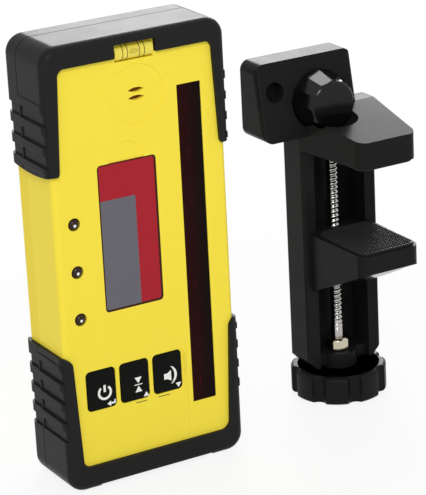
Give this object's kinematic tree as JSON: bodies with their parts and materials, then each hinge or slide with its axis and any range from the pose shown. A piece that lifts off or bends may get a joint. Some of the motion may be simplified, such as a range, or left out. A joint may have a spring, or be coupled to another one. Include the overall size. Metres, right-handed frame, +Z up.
{
  "type": "laser receiver",
  "caption": "Hand-size receiver for a rotating laser level, yellow with black soft bumpers, and the screw clamp that holds it on a levelling rod.",
  "frame": {"origin": "on the ground under the middle of the pair of receiver and clamp", "axes": "+Z up along the receiver, the receiver faces -Y, the clamp stands on its +X side"},
  "size_m": [0.1588, 0.0616, 0.1745],
  "materials": {
    "shell": "satin",
    "bumper": "matte",
    "gasket": "matte",
    "steel": "satin",
    "window": "gloss",
    "film": "gloss",
    "glass": "gloss",
    "white_plastic": "matte",
    "board": "satin",
    "chip": "satin",
    "key": "satin",
    "lamp": "gloss",
    "vial": "gloss",
    "liquid": "gloss",
    "cell": "satin",
    "brass": "satin",
    "clamp_plastic": "satin",
    "pad": "matte",
    "knob_plastic": "gloss"
  },
  "bodies": {
    "housing": {"front_shell": "shell", "rear_shell": "shell", "shell_gasket": "gasket", "shell_screws": "steel", "front_top_bumper": "bumper", "rear_top_bumper": "bumper", "front_bottom_bumper": "bumper", "rear_bottom_bumper": "bumper", "detector_window": "window", "detector_board": "board", "photodiodes": "chip", "display_film": "film", "display_glass": "glass", "display_frame": "white_plastic", "key_switches": "chip", "led_high": "lamp", "led_level": "lamp", "led_low": "lamp", "vial_barrel": "vial", "vial_liquid": "liquid", "loudspeaker": "chip", "loudspeaker_gasket": "gasket", "main_board": "board", "board_screws": "steel", "battery_left": "cell", "battery_right": "cell", "battery_contacts": "steel", "door_pin": "steel", "door_seal": "gasket", "bracket_insert": "brass", "clamp_frame": "clamp_plastic", "fixed_jaw_pad": "pad"},
    "power_key": {"key_power": "key"},
    "band_key": {"key_band": "key"},
    "sound_key": {"key_sound": "key"},
    "door": {"battery_door": "shell"},
    "jaw": {"moving_jaw": "clamp_plastic", "moving_jaw_pad": "pad", "jaw_nut": "brass"},
    "screw": {"lead_screw": "steel", "thrust_collar": "steel", "clamp_knob": "knob_plastic", "knob_screw": "steel"},
    "fixing": {"fixing_knob": "knob_plastic", "fixing_screw": "steel", "retaining_ring": "steel"}
  },
  "joints": [
    {"name": "power_key_press", "type": "slide", "parent": "housing", "child": "power_key", "axis": [0, 1, 0], "range_m": [0, 0.0008], "stiffness_N_per_m": 1500},
    {"name": "band_key_press", "type": "slide", "parent": "housing", "child": "band_key", "axis": [0, 1, 0], "range_m": [0, 0.0008], "stiffness_N_per_m": 1500},
    {"name": "sound_key_press", "type": "slide", "parent": "housing", "child": "sound_key", "axis": [0, 1, 0], "range_m": [0, 0.0008], "stiffness_N_per_m": 1500},
    {"name": "door_swing", "type": "hinge", "parent": "housing", "child": "door", "pos_m": [-0.04118, 0.0112, 0.0134], "axis": [-1, 0, 0], "range_deg": [0, 95]},
    {"name": "clamp_screw_turn", "type": "hinge", "parent": "housing", "child": "screw", "pos_m": [0.05983, 0.0112, 0], "axis": [0, 0, 1], "range_deg": [-5760, 3240]},
    {"name": "jaw_slide", "type": "slide", "parent": "housing", "child": "jaw", "axis": [0, 0, 1], "range_m": [-0.0181, 0.0321]},
    {"name": "fixing_knob_turn", "type": "hinge", "parent": "housing", "child": "fixing", "pos_m": [0.05183, 0.0112, 0.1266], "axis": [0, 1, 0], "continuous": true}
  ],
  "couplings": [
    {"joint": "jaw_slide", "follows": "clamp_screw_turn", "m_per_rad": -0.00031831}
  ]
}
